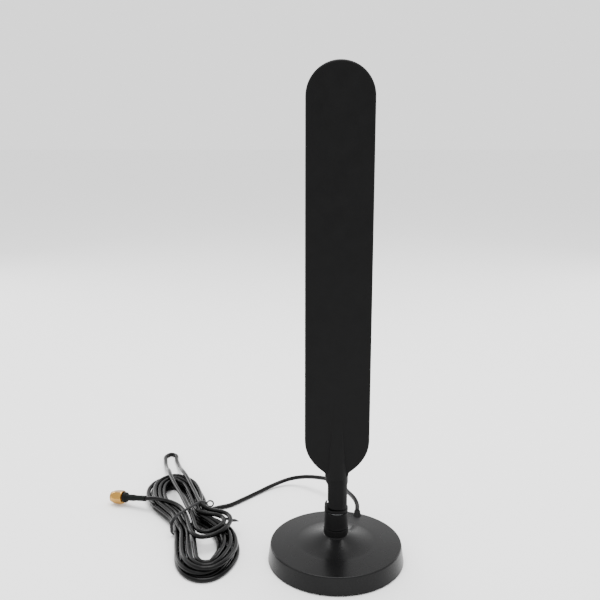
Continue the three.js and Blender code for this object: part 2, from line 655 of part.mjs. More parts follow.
const NUT_LENGTH = 8;
const FERRULE_END = 16.6;
const SHRINK_END = 25.6;
const plugNut = toGeometry(hexNut([[3.45, 0, 5.6], [2.6, 5.6, NUT_LENGTH]]));
add("plug_nut", ontoPlug(plugNut), GOLD);
const plugBodyOutline = [
  [2.05, 2.2],
  [2.3, 2.2],
  [2.3, 3.6],
  [3.1, 3.6],
  [3.1, 5.4],
  [2.4, 5.4],
  [2.4, NUT_LENGTH + 0.4],
  [3.0, NUT_LENGTH + 0.4],
  [3.0, 10.2],
  [2.05, 10.2],
];
add("plug_body", ontoPlug(turned(plugBodyOutline)), GOLD);
add("plug_gasket", ontoPlug(ring(2.45, 3.1, 2.9, 3.5, 20)), { ...RUBBER, color: 0xa03a28 });
add("plug_insulator", ontoPlug(ring(0.6, 1.95, 2.4, 9.8, 20)), PTFE);
add("plug_pin", ontoPlug(turned([[0, 0.6], [0.2, 0.6], [0.45, 1.2], [0.45, 9.9], [0, 9.9]], 12)), GOLD);
add("crimp_ferrule", ontoPlug(bar(1.7, 10.4, FERRULE_END, 24)), GOLD);
const shrinkOutline = [
  [0, FERRULE_END + 0.2],
  [1.85, FERRULE_END + 0.2],
  [1.85, 10.35],
  [3.15, 10.35],
  [3.15, NUT_LENGTH + 0.4],
  [3.5, NUT_LENGTH + 0.4],
  [3.5, 10.3],
  [SHRINK_RADIUS + 0.3, 12],
  [SHRINK_RADIUS, FERRULE_END],
  [SHRINK_RADIUS - 0.2, FERRULE_END + 2],
  [SHRINK_RADIUS - 0.25, SHRINK_END],
  [0, SHRINK_END],
];
add("heat_shrink", ontoPlug(turned(shrinkOutline, 20)), { ...RUBBER, color: 0x14201c });

export default group;
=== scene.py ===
"""Looks of the magnetic base paddle antenna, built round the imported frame. Lengths are in millimetres
until MM scales them, in the frame's own axes: +Z up, base centred on the origin."""
import json
import math

import bmesh
import bpy
from mathutils import Matrix, Vector


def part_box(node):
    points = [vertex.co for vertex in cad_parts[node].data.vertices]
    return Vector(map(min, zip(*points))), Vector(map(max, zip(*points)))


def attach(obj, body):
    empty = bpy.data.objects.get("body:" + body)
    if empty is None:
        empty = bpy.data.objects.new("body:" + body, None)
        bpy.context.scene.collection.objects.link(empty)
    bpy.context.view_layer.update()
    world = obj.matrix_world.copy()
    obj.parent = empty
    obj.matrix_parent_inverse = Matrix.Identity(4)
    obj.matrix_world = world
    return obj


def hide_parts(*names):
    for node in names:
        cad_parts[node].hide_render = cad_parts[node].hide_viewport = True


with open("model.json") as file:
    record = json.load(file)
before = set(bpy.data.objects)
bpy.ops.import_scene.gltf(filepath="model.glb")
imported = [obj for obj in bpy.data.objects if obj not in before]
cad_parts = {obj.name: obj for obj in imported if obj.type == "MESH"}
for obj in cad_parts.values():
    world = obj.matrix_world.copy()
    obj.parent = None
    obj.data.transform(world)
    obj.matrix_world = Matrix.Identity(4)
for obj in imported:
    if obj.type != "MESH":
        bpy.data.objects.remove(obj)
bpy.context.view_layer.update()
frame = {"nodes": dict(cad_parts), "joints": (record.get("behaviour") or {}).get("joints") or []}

MM = 0.001
NODES = frame["nodes"]
JOINTS = {joint["name"]: joint for joint in frame["joints"]}


def span(node):
    """Lowest and highest corner of a CAD node, in millimetres."""
    low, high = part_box(node)
    return low / MM, high / MM


# ---- Camera ----
CAMERA_LENS = 48.47
CAMERA_PLACE = Vector((-21.1, -433.0, 255.4))
CAMERA_PITCH = 12.81  # degrees below the horizon

camera = bpy.data.objects.new("camera", bpy.data.cameras.new("camera"))
camera.data.lens = CAMERA_LENS
camera.data.sensor_width = 36
camera.data.clip_end = 20
camera.location = CAMERA_PLACE * MM
camera.rotation_euler = (math.radians(90 - CAMERA_PITCH), 0, 0)
bpy.context.scene.collection.objects.link(camera)
bpy.context.scene.camera = camera


# ---- Cord ----
CORD_DIAMETER = 2.8
CORD_RADIUS = CORD_DIAMETER / 2
LAYER = 2.8  # height of one layer of turns
FLOOR_LAYER = 1.5
TURNS_PER_LAYER = 3
LAYERS = 3
TURN_PITCH = 2.95
WAIST_Y = 42
WAIST_LIFT = 0.9  # the turns lie on the tie there

# Lead, from the boot round to the hank. The same points as the CAD's lead.
LEAD = [
    (14.3, 43.0, 15.8),
    (12.4, 48.5, 16.2),
    (9.8, 54.8, 16.1),
    (5.1, 70.2, 15.0),
    (-3.3, 81.5, 12.5),
    (-16.9, 92.9, 8.5),
    (-28.2, 96.9, 5),
    (-39.4, 92.7, 2.5),
    (-50.2, 82.8, 1.5),
    (-60.5, 71.6, 1.5),
    (-68, 64.1, 1.5),
    (-74.5, 61.0, 1.5),
    (-80.0, 57.6, 1.5),
]

# Centreline of the hank's outermost turn, clockwise from the right of the waist: x, y and how far apart
# neighbouring turns lie there, in pitches.
TURN = [
    (-84.2, 49.5, 1.0),
    (-80.6, 41.0, 1.0),
    (-73.4, 34.0, 1.1),
    (-66.4, 26.5, 1.3),
    (-61.4, 16.0, 1.42),
    (-59.4, 3.2, 1.42),
    (-61.2, -8.5, 1.42),
    (-65.5, -18.5, 1.3),
    (-71.8, -24.6, 1.2),
    (-79.0, -25.2, 1.2),
    (-86.2, -20.5, 1.3),
    (-92.0, -10.5, 1.42),
    (-94.7, 2.5, 1.42),
    (-96.6, 16.5, 1.3),
    (-99.6, 28.5, 1.0),
    (-103.8, 38.8, 1.0),
    (-110.0, 47.5, 1.0),
    (-117.2, 57.0, 1.1),
    (-122.6, 69.5, 1.2),
    (-124.0, 82.5, 1.3),
    (-120.0, 93.5, 1.42),
    (-111.5, 99.0, 1.42),
    (-102.4, 95.8, 1.42),
    (-93.4, 86.5, 1.3),
    (-88.0, 73.5, 1.3),
    (-84.6, 61.0, 1.1),
]
# The hank's spine, from its front lobe to its rear one: the inner turns close in on it.
SPINE = [(-77.5, -7.5), (-82.0, 17.0), (-92.0, 41.5), (-98.5, 61.0), (-107.0, 81.5)]
OUTERMOST_RANK = -0.4
# Each layer starts a little further in than the one under it, and its lobes lie a little to one side.
LAYER_SETBACK = 0.2
LAYER_SWAY = [Vector((0.0, 0.0)), Vector((-1.2, 1.0)), Vector((1.2, 1.6))]

# Small loop over the lower lobe, then the stray loop behind the hank, then the outer loop over the
# lower lobe, and last the tail that climbs on to the plug.
INNER_LOOP = [
    (-86.0, 39.0, 10.2),
    (-80.3, 36.2, 10.2),
    (-74.2, 34.8, 9.9),
    (-69.6, 31.2, 9.9),
    (-68.4, 25.6, 9.9),
    (-71.6, 18.4, 9.9),
    (-76.8, 13.6, 9.9),
    (-81.4, 13.8, 9.9),
    (-84.8, 18.8, 9.9),
    (-87.2, 26.6, 10.2),
    (-90.0, 35.0, 10.8),
]
STRAY_LOOP = [
    (-93.4, 43.5, 10.8),
    (-97.0, 53.5, 10.5),
    (-100.8, 64.0, 10.0),
    (-106.2, 77.0, 9.9),
    (-111.2, 90.5, 9.8),
    (-114.8, 103.4, 8.2),
    (-117.9, 115.0, 4.2),
    (-120.8, 126.5, 1.9),
    (-122.7, 136.0, 1.5),
    (-123.6, 142.6, 1.5),
    (-120.3, 147.6, 1.5),
    (-115.9, 144.6, 1.5),
    (-114.7, 137.6, 1.5),
    (-112.0, 128.5, 1.9),
    (-108.6, 116.5, 4.2),
    (-104.8, 102.8, 8.2),
    (-100.8, 91.5, 9.8),
    (-95.6, 77.0, 9.9),
    (-91.2, 65.0, 9.9),
    (-88.0, 54.5, 10.6),
]
OUTER_LOOP = [
    (-84.6, 46.6, 10.8),
    (-79.0, 41.6, 10.2),
    (-73.8, 39.8, 9.9),
    (-68.4, 37.0, 9.9),
    (-65.0, 31.4, 9.9),
    (-64.6, 25.2, 9.9),
    (-66.4, 18.8, 9.9),
    (-70.4, 12.4, 9.9),
    (-75.4, 8.4, 9.9),
    (-80.6, 7.2, 9.9),
    (-85.2, 10.2, 9.9),
    (-88.4, 16.8, 9.9),
    (-90.8, 25.4, 10.2),
    (-93.6, 34.4, 10.8),
]
TAIL = [
    (-97.0, 41.8, 10.8),
    (-101.8, 48.0, 10.6),
    (-108.2, 53.2, 10.2),
    (-115.0, 57.0, 9.6),
    (-120.5, 59.4, 8.8),
]


def smoothstep(low, high, value):
    share = min(1.0, max(0.0, (value - low) / (high - low)))
    return share * share * (3 - 2 * share)


def spine_point(place):
    """The nearest point of the hank's spine."""
    nearest = None
    for start, end in zip(SPINE, SPINE[1:]):
        start, step = Vector(start), Vector(end) - Vector(start)
        share = min(1.0, max(0.0, (place - start).dot(step) / step.length_squared))
        candidate = start + step * share
        if nearest is None or (candidate - place).length < (nearest - place).length:
            nearest = candidate
    return nearest


def turn_point(index, layer, rank):
    """One point of the hank: a station of the outermost turn, moved inwards by rank pitches."""
    x, y, spread = TURN[index]
    place = Vector((x, y))
    inward = (spine_point(place) - place).normalized()
    in_lobe = smoothstep(12, 28, abs(y - WAIST_Y))
    return place + inward * rank * TURN_PITCH * spread + LAYER_SWAY[layer] * in_lobe


def hank_points():
    """All turns: each layer spirals in or out, and the next one lies on it."""
    stations = len(TURN)
    points = []
    for step in range(TURNS_PER_LAYER * LAYERS * stations):
        turn = step / stations
        layer = int(turn // TURNS_PER_LAYER)
        share = turn - layer * TURNS_PER_LAYER
        rank = share if layer % 2 == 0 else TURNS_PER_LAYER - share
        climb = smoothstep(0, 0.3, share) if layer else 1.0
        inset = OUTERMOST_RANK + rank * 0.9 + LAYER_SETBACK * (layer - 1 + climb)
        place = turn_point(step % stations, layer, inset)
        if climb < 1:
            place = place.lerp(turn_point(step % stations, layer - 1, inset), 1 - climb)
        lift = WAIST_LIFT * (1 - smoothstep(12, 28, abs(place.y - WAIST_Y)))
        points.append((place.x, place.y, FLOOR_LAYER + lift + LAYER * (layer - 1 + climb)))
    return points


LEAD_START = Vector((15.013, 35.458, 12.752))
plug_joint = JOINTS["plug_nut_spin"]
PLUG_NOSE = Vector(plug_joint["pos_m"]) / MM
PLUG_AXIS = Vector(plug_joint["axis"]).normalized()
SHRINK_END = 25.6
FERRULE_END = 16.6
cord_end = PLUG_NOSE + PLUG_AXIS * (FERRULE_END + 0.4)

route = [tuple(LEAD_START), (15.18, 38.64, 14.63)] + LEAD + hank_points()
route += INNER_LOOP + STRAY_LOOP + OUTER_LOOP + TAIL
route += [tuple(PLUG_NOSE + PLUG_AXIS * along) for along in (SHRINK_END + 0.5, 21)] + [tuple(cord_end)]


def catmull_rom(points, samples):
    """A centripetal Catmull-Rom curve through the points."""
    knots = [Vector(p) for p in points]
    knots = [2 * knots[0] - knots[1]] + knots + [2 * knots[-1] - knots[-2]]
    out = []
    for a, b, c, d in zip(knots, knots[1:], knots[2:], knots[3:]):
        t1 = (b - a).length ** 0.5
        t2 = t1 + (c - b).length ** 0.5
        t3 = t2 + (d - c).length ** 0.5
        for i in range(samples):
            t = t1 + (t2 - t1) * i / samples
            p = a * (t1 - t) / t1 + b * t / t1
            q = b * (t2 - t) / (t2 - t1) + c * (t - t1) / (t2 - t1)
            r = c * (t3 - t) / (t3 - t2) + d * (t - t2) / (t3 - t2)
            s = p * (t2 - t) / t2 + q * t / t2
            u = q * (t3 - t) / (t3 - t1) + r * (t - t1) / (t3 - t1)
            out.append(s * (t2 - t) / (t2 - t1) + u * (t - t1) / (t2 - t1))
    out.append(knots[-2])
    return out


def cord_object(name, points):
    curve = bpy.data.curves.new(name, "CURVE")
    curve.dimensions = "3D"
    curve.bevel_depth = CORD_RADIUS * MM
    curve.bevel_resolution = 4
    curve.use_fill_caps = True
    spline = curve.splines.new("POLY")
    spline.points.add(len(points) - 1)
    for slot, point in zip(spline.points, points):
        slot.co = (*(Vector(point) * MM), 1)
    piece = bpy.data.objects.new(name, curve)
    bpy.context.scene.collection.objects.link(piece)
    return piece


cord_line = catmull_rom(route, 3)
cord = cord_object("coaxial_cord", cord_line)

# ---- Mesh helpers ----
def link(name, mesh):
    """A piece with this mesh, in the scene."""
    piece = bpy.data.objects.new(name, mesh)
    bpy.context.scene.collection.objects.link(piece)
    return piece


def finish_mesh(name, bm):
    bmesh.ops.recalc_face_normals(bm, faces=bm.faces)
    mesh = bpy.data.meshes.new(name)
    bm.to_mesh(mesh)
    bm.free()
    return link(name, mesh)


def fillet(corners, steps=5):
    """A closed outline of (x, y) points from corners (x, y) or (x, y, radius), with the arcs drawn in."""
    outline = []
    for i, corner in enumerate(corners):
        here = Vector(corner[:2])
        radius = corner[2] if len(corner) > 2 else 0
        if not radius:
            outline.append(tuple(here))
            continue
        back = (Vector(corners[i - 1][:2]) - here).normalized()
        ahead = (Vector(corners[(i + 1) % len(corners)][:2]) - here).normalized()
        half = back.angle(ahead) / 2
        centre = here + (back + ahead).normalized() * radius / math.sin(half)
        start = here + back * radius / math.tan(half) - centre
        end = here + ahead * radius / math.tan(half) - centre
        first = math.atan2(start.y, start.x)
        sweep = (math.atan2(end.y, end.x) - first + math.pi) % (2 * math.pi) - math.pi
        for k in range(steps + 1):
            angle = first + sweep * k / steps
            outline.append((centre.x + radius * math.cos(angle), centre.y + radius * math.sin(angle)))
    return outline


def turned(name, profile, segments=96):
    """A body turned about Z from a closed profile of (radius, height)."""
    bm = bmesh.new()
    rings = []
    for radius, height in profile:
        if radius < 1e-6:
            rings.append([bm.verts.new((0, 0, height * MM))] * segments)
            continue
        ring = []
        for k in range(segments):
            angle = 2 * math.pi * k / segments
            x, y = radius * math.cos(angle) * MM, radius * math.sin(angle) * MM
            ring.append(bm.verts.new((x, y, height * MM)))
        rings.append(ring)
    for lower, upper in zip(rings, rings[1:] + rings[:1]):
        for k in range(segments):
            after = (k + 1) % segments
            corners = []
            for vert in (lower[k], lower[after], upper[after], upper[k]):
                if vert not in corners:
                    corners.append(vert)
            if len(corners) > 2:
                bm.faces.new(corners)
    return finish_mesh(name, bm)


def block(name, low, high):
    """A cutting tool: a box between two corners."""
    bm = bmesh.new()
    bmesh.ops.create_cube(bm, size=1)
    low, high = Vector(low) * MM, Vector(high) * MM
    size = high - low
    placing = Matrix.Translation((low + high) / 2) @ Matrix.Diagonal((*size, 1))
    bmesh.ops.transform(bm, matrix=placing, verts=bm.verts)
    return finish_mesh(name, bm)


def prism(name, outline, y0, y1):
    """A slab with an outline drawn in X and Z, from y0 to y1."""
    bm = bmesh.new()
    sides = [[bm.verts.new((x * MM, y * MM, z * MM)) for x, z in outline] for y in (y0, y1)]
    for k in range(len(outline)):
        after = (k + 1) % len(outline)
        bm.faces.new((sides[0][k], sides[0][after], sides[1][after], sides[1][k]))
    bm.faces.new(sides[0])
    bm.faces.new(list(reversed(sides[1])))
    return finish_mesh(name, bm)


def moved(piece, matrix):
    """Bakes a transform (in millimetres) into a mesh."""
    scaled = matrix.copy()
    scaled.translation = matrix.translation * MM
    piece.data.transform(scaled)
    return piece


def combine(body, tool, operation="DIFFERENCE"):
    """A boolean of two meshes, applied; the tool is used up."""
    modifier = body.modifiers.new("boolean", "BOOLEAN")
    modifier.operation = operation
    modifier.solver = "EXACT"
    modifier.object = tool
    bpy.context.view_layer.update()
    evaluated = body.evaluated_get(bpy.context.evaluated_depsgraph_get())
    mesh = bpy.data.meshes.new_from_object(evaluated)
    body.modifiers.clear()
    body.data = mesh
    bpy.data.objects.remove(tool)
    return body


def shade(piece, angle=32):
    """Smooth shading that keeps edges sharper than the angle, in degrees."""
    mesh = piece.data
    for polygon in mesh.polygons:
        polygon.use_smooth = True
    mesh.set_sharp_from_angle(angle=math.radians(angle))
    piece.modifiers.new("normals", "WEIGHTED_NORMAL").keep_sharp = True
    return piece


def tube(name, points, sections):
    """A closed tube through points, with an (across, up) half size at each and a rounded section."""
    sides = 12
    bm = bmesh.new()
    rings = []
    for i, point in enumerate(points):
        before = Vector(points[max(0, i - 1)])
        after = Vector(points[min(len(points) - 1, i + 1)])
        along = (after - before).normalized()
        across = along.cross(Vector((0, 0, 1)))
        across = across.normalized() if across.length > 1e-3 else Vector((1, 0, 0))
        up = across.cross(along)
        wide, tall = sections[i]
        ring = []
        for k in range(sides):
            angle = 2 * math.pi * k / sides
            offset = across * wide * math.cos(angle) + up * tall * math.sin(angle)
            ring.append(bm.verts.new((Vector(point) + offset) * MM))
        rings.append(ring)
    for one, other in zip(rings, rings[1:]):
        for k in range(sides):
            after = (k + 1) % sides
            bm.faces.new((one[k], one[after], other[after], other[k]))
    bm.faces.new(rings[0])
    bm.faces.new(rings[-1])
    return finish_mesh(name, bm)


# ---- Materials ----
def surface(name, colour, spread, roughness, rough_spread, metallic=0.0, grain=900, depth=0.05, **sockets):
    """A material with mottled colour, uneven roughness and a fine grain. grain is in repeats per metre."""
    material = bpy.data.materials.new(name)
    material.use_nodes = True
    nodes, links = material.node_tree.nodes, material.node_tree.links
    shader = nodes["Principled BSDF"]
    place = nodes.new("ShaderNodeTexCoord")
    mottle = nodes.new("ShaderNodeTexNoise")
    mottle.inputs["Scale"].default_value = grain / 12
    mottle.inputs["Detail"].default_value = 5
    fine = nodes.new("ShaderNodeTexNoise")
    fine.inputs["Scale"].default_value = grain
    fine.inputs["Detail"].default_value = 3
    ramp = nodes.new("ShaderNodeValToRGB")
    ramp.color_ramp.elements[0].position = 0.3
    ramp.color_ramp.elements[1].position = 0.7
    ramp.color_ramp.elements[0].color = (*[c * (1 - spread) for c in colour], 1)
    ramp.color_ramp.elements[1].color = (*[min(1, c * (1 + spread)) for c in colour], 1)
    rough = nodes.new("ShaderNodeMapRange")
    rough.inputs["From Min"].default_value = 0.3
    rough.inputs["From Max"].default_value = 0.7
    rough.inputs["To Min"].default_value = roughness - rough_spread
    rough.inputs["To Max"].default_value = roughness + rough_spread
    bump = nodes.new("ShaderNodeBump")
    bump.inputs["Strength"].default_value = depth
    bump.inputs["Distance"].default_value = 0.0002
    for noise in (mottle, fine):
        links.new(place.outputs["Object"], noise.inputs["Vector"])
    links.new(mottle.outputs["Fac"], ramp.inputs["Fac"])
    links.new(mottle.outputs["Fac"], rough.inputs["Value"])
    links.new(fine.outputs["Fac"], bump.inputs["Height"])
    links.new(ramp.outputs["Color"], shader.inputs["Base Color"])
    links.new(rough.outputs["Result"], shader.inputs["Roughness"])
    links.new(bump.outputs["Normal"], shader.inputs["Normal"])
    shader.inputs["Metallic"].default_value = metallic
    for socket, value in sockets.items():
        shader.inputs[socket.replace("_", " ")].default_value = value
    return material


SATIN = {"Specular_IOR_Level": 0.08}
SEMI_GLOSS = {"Specular_IOR_Level": 0.14}
BASE_BLACK = (0.005, 0.005, 0.0052)
BLADE_BLACK = (0.0045, 0.0045, 0.0046)
JACKET_BLACK = (0.0025, 0.0025, 0.0026)
BASE_PLASTIC = surface("base_plastic", BASE_BLACK, 0.2, 0.26, 0.04, grain=700, depth=0.03, **SEMI_GLOSS)
BLADE_PLASTIC = surface("blade_plastic", BLADE_BLACK, 0.15, 0.52, 0.05, grain=1800, depth=0.12, **SATIN)
RUBBER = surface("rubber", (0.004, 0.004, 0.004), 0.2, 0.62, 0.08, grain=1500, depth=0.2, **SATIN)
JACKET = surface("cable_jacket", JACKET_BLACK, 0.2, 0.25, 0.05, grain=1200, depth=0.05, **SEMI_GLOSS)
TIE_FILM = surface("tie_film", (0.004, 0.004, 0.0045), 0.2, 0.38, 0.06, grain=1500, depth=0.1, **SEMI_GLOSS)
SHRINK = surface("heat_shrink", (0.004, 0.0052, 0.0046), 0.25, 0.5, 0.08, grain=900, depth=0.15, **SATIN)
STEEL = surface("zinc_steel", (0.55, 0.56, 0.58), 0.1, 0.35, 0.08, metallic=1.0, grain=1600, depth=0.08)
GOLD = surface("gold_plate", (0.44, 0.24, 0.055), 0.08, 0.24, 0.06, metallic=1.0, grain=1400, depth=0.04)
COPPER = surface("copper_foil", (0.72, 0.40, 0.24), 0.12, 0.4, 0.08, metallic=1.0, grain=1200, depth=0.06)
FERRITE = surface("ferrite", (0.045, 0.043, 0.041), 0.3, 0.7, 0.1, grain=1400, depth=0.3)
PTFE = surface("ptfe", (0.85, 0.84, 0.80), 0.03, 0.45, 0.05, grain=900, depth=0.05)
BOARD = surface("solder_mask", (0.02, 0.10, 0.035), 0.2, 0.35, 0.06, grain=900, depth=0.08)
GASKET = surface("silicone", (0.36, 0.05, 0.03), 0.1, 0.5, 0.06, grain=900, depth=0.1)

# ---- Base ----
SHELL_WALL = 1.8
CONE_RADIUS = 24
CONE_HEIGHT = 11.9
BOSS_RADIUS = 7.3
THREAD_CLEARANCE = 3.3

shell_low, shell_high = span("base_shell")
BASE_RADIUS = shell_high.x
RIM_RADIUS = BASE_RADIUS - 1.5
RIM_HEIGHT = 10.9
BOSS_HEIGHT = shell_high.z


def cone_height(radius):
    share = (CONE_RADIUS - radius) / (CONE_RADIUS - BOSS_RADIUS)
    return CONE_HEIGHT + (BOSS_HEIGHT - 0.5 - CONE_HEIGHT) * share**1.55


def shell_profile():
    """Side wall, rounded rim, shallow annulus, concave cone, boss, and the hollow underneath."""
    steps = 26
    cone = []
    for i in range(1, steps):
        radius = CONE_RADIUS + (BOSS_RADIUS - CONE_RADIUS) * i / steps
        cone.append((radius, cone_height(radius)))
    outer = [
        (BASE_RADIUS - SHELL_WALL, shell_low.z),
        (BASE_RADIUS, shell_low.z, 0.35),
        (RIM_RADIUS, RIM_HEIGHT, 0.9),
        (CONE_RADIUS + 0.4, CONE_HEIGHT, 1.1),
        *cone[1:],
        (BOSS_RADIUS, BOSS_HEIGHT - 0.5, 0.1),
        (BOSS_RADIUS - 0.3, BOSS_HEIGHT, 0.12),
        (THREAD_CLEARANCE, BOSS_HEIGHT),
    ]
    inner = [
        (THREAD_CLEARANCE, 14.6),
        (7.0, 14.6),
        (9.5, 12.9),
        (15.0, cone_height(15) - SHELL_WALL),
        (CONE_RADIUS, CONE_HEIGHT - SHELL_WALL),
        (RIM_RADIUS - SHELL_WALL, RIM_HEIGHT - SHELL_WALL, 1.0),
    ]
    return fillet(outer + inner)


BOOT_OUTER = Vector((15.0, 35.2, 12.6))
BOOT_INNER = Vector((14.6, 27.4, 8.0))
BOOT_RADIUS = 2.3
BOOT_HOLE = 2.6
BOOT_AXIS = (BOOT_OUTER - BOOT_INNER).normalized()
BOOT_LENGTH = (BOOT_OUTER - BOOT_INNER).length
BOOT_TURN = Vector((0, 0, 1)).rotation_difference(BOOT_AXIS).to_matrix().to_4x4()
ONTO_BOOT = Matrix.Translation(BOOT_INNER) @ BOOT_TURN

base = turned("base_housing", shell_profile(), 192)
for index in range(3):
    place = (span(f"base_screw_{index + 1}")[0] + span(f"base_screw_{index + 1}")[1]) / 2
    post = turned("post", [(1.35, 2.4), (2.8, 2.4), (2.8, 10.2), (1.35, 10.2)], 32)
    combine(base, moved(post, Matrix.Translation((place.x, place.y, 0))), "UNION")
hole_end = BOOT_LENGTH + 4
boot_hole = turned("boot_hole", [(0, -4), (BOOT_HOLE, -4), (BOOT_HOLE, hole_end), (0, hole_end)], 48)
combine(base, moved(boot_hole, ONTO_BOOT))
shade(base, 28)


def boot_profile():
    """A short strain relief that tapers to the cord, with one flexing groove near its end."""
    profile = [(0, 0), (BOOT_RADIUS, 0), (BOOT_RADIUS, 6.4, 0.3), (BOOT_RADIUS - 0.2, 7.3, 0.12)]
    groove = BOOT_RADIUS - 0.45
    profile += [(groove, 7.6, 0.1), (groove, 8.0, 0.1), (groove + 0.15, 8.3, 0.12)]
    profile += [(1.75, BOOT_LENGTH, 0.25), (0, BOOT_LENGTH)]
    return fillet(profile, 3)


boot = shade(moved(turned("strain_relief", boot_profile(), 48), ONTO_BOOT))

# ---- Neck of the antenna ----
seal_low, seal_high = span("seal_ring")
SEAL_RADIUS = seal_high.x
seal = turned(
    "rubber_seal",
    fillet(
        [
            (5.2, seal_low.z),
            (SEAL_RADIUS, seal_low.z, 0.3),
            (SEAL_RADIUS, seal_high.z, 0.45),
            (5.2, seal_high.z),
        ]
    ),
)
shade(seal)

sleeve_low, sleeve_high = span("coupling_sleeve")
SLEEVE_RADIUS = sleeve_high.x
sleeve = turned(
    "threaded_sleeve",
    fillet(
        [
            (4.85, sleeve_low.z, 0.2),
            (SLEEVE_RADIUS - 0.1, sleeve_low.z, 0.25),
            (SLEEVE_RADIUS, sleeve_low.z + 0.75, 0.3),
            (SLEEVE_RADIUS - 0.16, sleeve_low.z + 1.05, 0.3),
            (SLEEVE_RADIUS - 0.1, sleeve_high.z, 0.35),
            (2.9, sleeve_high.z),
            (2.9, 29.7),
            (4.85, 29.7),
        ]
    ),
)
shade(sleeve)

PIVOT = Vector(JOINTS["blade_tilt"]["pos_m"]) / MM
KNUCKLE_RADIUS = 6.9
NECK_RADIUS = 6.7
TONGUE_HALF = 2.3
TONGUE_RADIUS = 6.0
TONGUE_LEFT = 4.7
EAR_LEFT = 4.85
EAR_SWING = 9.4
knuckle_low = span("hinge_knuckle")[0]
KNUCKLE_SEAT = knuckle_low.z + 2.0


def pivot_bar(name, radius, y0, y1, segments=96):
    """A bar along Y through the tilt pivot."""
    bar = turned(name, [(0, y0), (radius, y0), (radius, y1), (0, y1)], segments)
    return moved(bar, Matrix.Translation(PIVOT) @ Matrix.Rotation(math.radians(-90), 4, "X"))


def knuckle_piece():
    flange = fillet(
        [
            (0, knuckle_low.z),
            (KNUCKLE_RADIUS, knuckle_low.z, 0.3),
            (KNUCKLE_RADIUS, KNUCKLE_SEAT, 0.22),
            (0, KNUCKLE_SEAT),
        ]
    )
    shoulder = turned(
        "shoulder",
        fillet(
            [
                (0, KNUCKLE_SEAT - 0.4),
                (KNUCKLE_RADIUS - 0.1, KNUCKLE_SEAT - 0.4),
                (KNUCKLE_RADIUS - 0.1, 36.4, 1.6),
                (0, 36.4),
            ],
            8,
        ),
    )
    combine(shoulder, block("left", (-8, -8, KNUCKLE_SEAT - 1), (-EAR_LEFT - 0.4, 8, 38)), "INTERSECT")
    piece = turned("hinge_base", flange)
    combine(piece, shoulder, "UNION")
    stem = block("stem", (-4.4, -TONGUE_HALF, KNUCKLE_SEAT - 0.5), (5.2, TONGUE_HALF, PIVOT.z))
    combine(piece, stem, "UNION")
    tongue = pivot_bar("tongue", TONGUE_RADIUS, -TONGUE_HALF, TONGUE_HALF)
    reach = block("reach", (-TONGUE_LEFT, -8, KNUCKLE_SEAT), (8, 8, PIVOT.z + 8))
    combine(piece, combine(tongue, reach, "INTERSECT"), "UNION")
    combine(piece, pivot_bar("pin_bore", 1.35, -4, 4, 32))
    bore = turned("bore", [(0, knuckle_low.z - 1), (2.8, knuckle_low.z - 1), (2.8, 36), (0, 36)], 32)
    return shade(combine(piece, bore))


knuckle = knuckle_piece()

# ---- Blade ----
blade_low, blade_high = span("blade_front_shell")
TOTAL_HEIGHT = blade_high.z
HALF_WIDTH = blade_high.x
HALF_THICKNESS = 4
EDGE_ROUND = 1.4
WALL = 1.5
STRAIGHT_FROM = 75.5
NECK_TO_BLADE = 54
FLARE_FROM = Vector((8.9, 57.4))  # end of the fillet between the neck and the blade's lower curve
FLARE_SLANT = Vector((math.cos(math.radians(38)), math.sin(math.radians(38))))
NECK_BOTTOM = blade_low.z
CROWN = TOTAL_HEIGHT - HALF_WIDTH
EAR_INNER = 2.6
EAR_OUTER = 5.75
EAR_TOP = 52.6


def bezier(p0, p1, p2, p3, steps):
    out = []
    for i in range(steps + 1):
        t = i / steps
        u = 1 - t
        pulls = Vector(p1) * 3 * u * u * t + Vector(p2) * 3 * u * t * t
        out.append(tuple(Vector(p0) * u**3 + pulls + Vector(p3) * t**3))
    return out


def blade_outline(inset):
    """The blade's outline in X and Z: flared from the neck, straight, and round at the crown."""
    half = HALF_WIDTH - inset
    neck = NECK_RADIUS - inset
    flare = FLARE_FROM + inset * Vector((-FLARE_SLANT.y, FLARE_SLANT.x))
    corner = Vector((neck, flare.y - (flare.x - neck) * FLARE_SLANT.y / FLARE_SLANT.x))
    pull = flare + FLARE_SLANT * (5.3 - 0.4 * inset)
    upper_pull = (half, STRAIGHT_FROM - 8.7 + 0.6 * inset)
    fillet_curve = bezier((neck, NECK_TO_BLADE), corner, corner, flare, 8)
    right = fillet_curve[:-1] + bezier(flare, pull, upper_pull, (half, STRAIGHT_FROM), 24)
    steps = 64
    arc = []
    for k in range(steps + 1):
        angle = math.pi * k / steps
        arc.append((half * math.cos(angle), CROWN + half * math.sin(angle)))
    left = [(-x, z) for x, z in reversed(right)]
    return right + arc + left


def blade_slab():
    """The flat blade with its edges rounded, as rings of one outline from the back to the front."""
    steps = 6
    levels = []
    for side in (1, -1):
        for k in range(steps + 1):
            angle = math.pi / 2 * (k if side < 0 else steps - k) / steps
            depth = side * (HALF_THICKNESS - EDGE_ROUND + EDGE_ROUND * math.sin(angle))
            levels.append((depth, EDGE_ROUND * (1 - math.cos(angle))))
    bm = bmesh.new()
    rings = [[bm.verts.new((x * MM, y * MM, z * MM)) for x, z in blade_outline(inset)] for y, inset in levels]
    count = len(rings[0])
    for one, other in zip(rings, rings[1:]):
        for k in range(count):
            after = (k + 1) % count
            bm.faces.new((one[k], one[after], other[after], other[k]))
    bm.faces.new(rings[0])
    bm.faces.new(rings[-1])
    return finish_mesh("blade", bm)


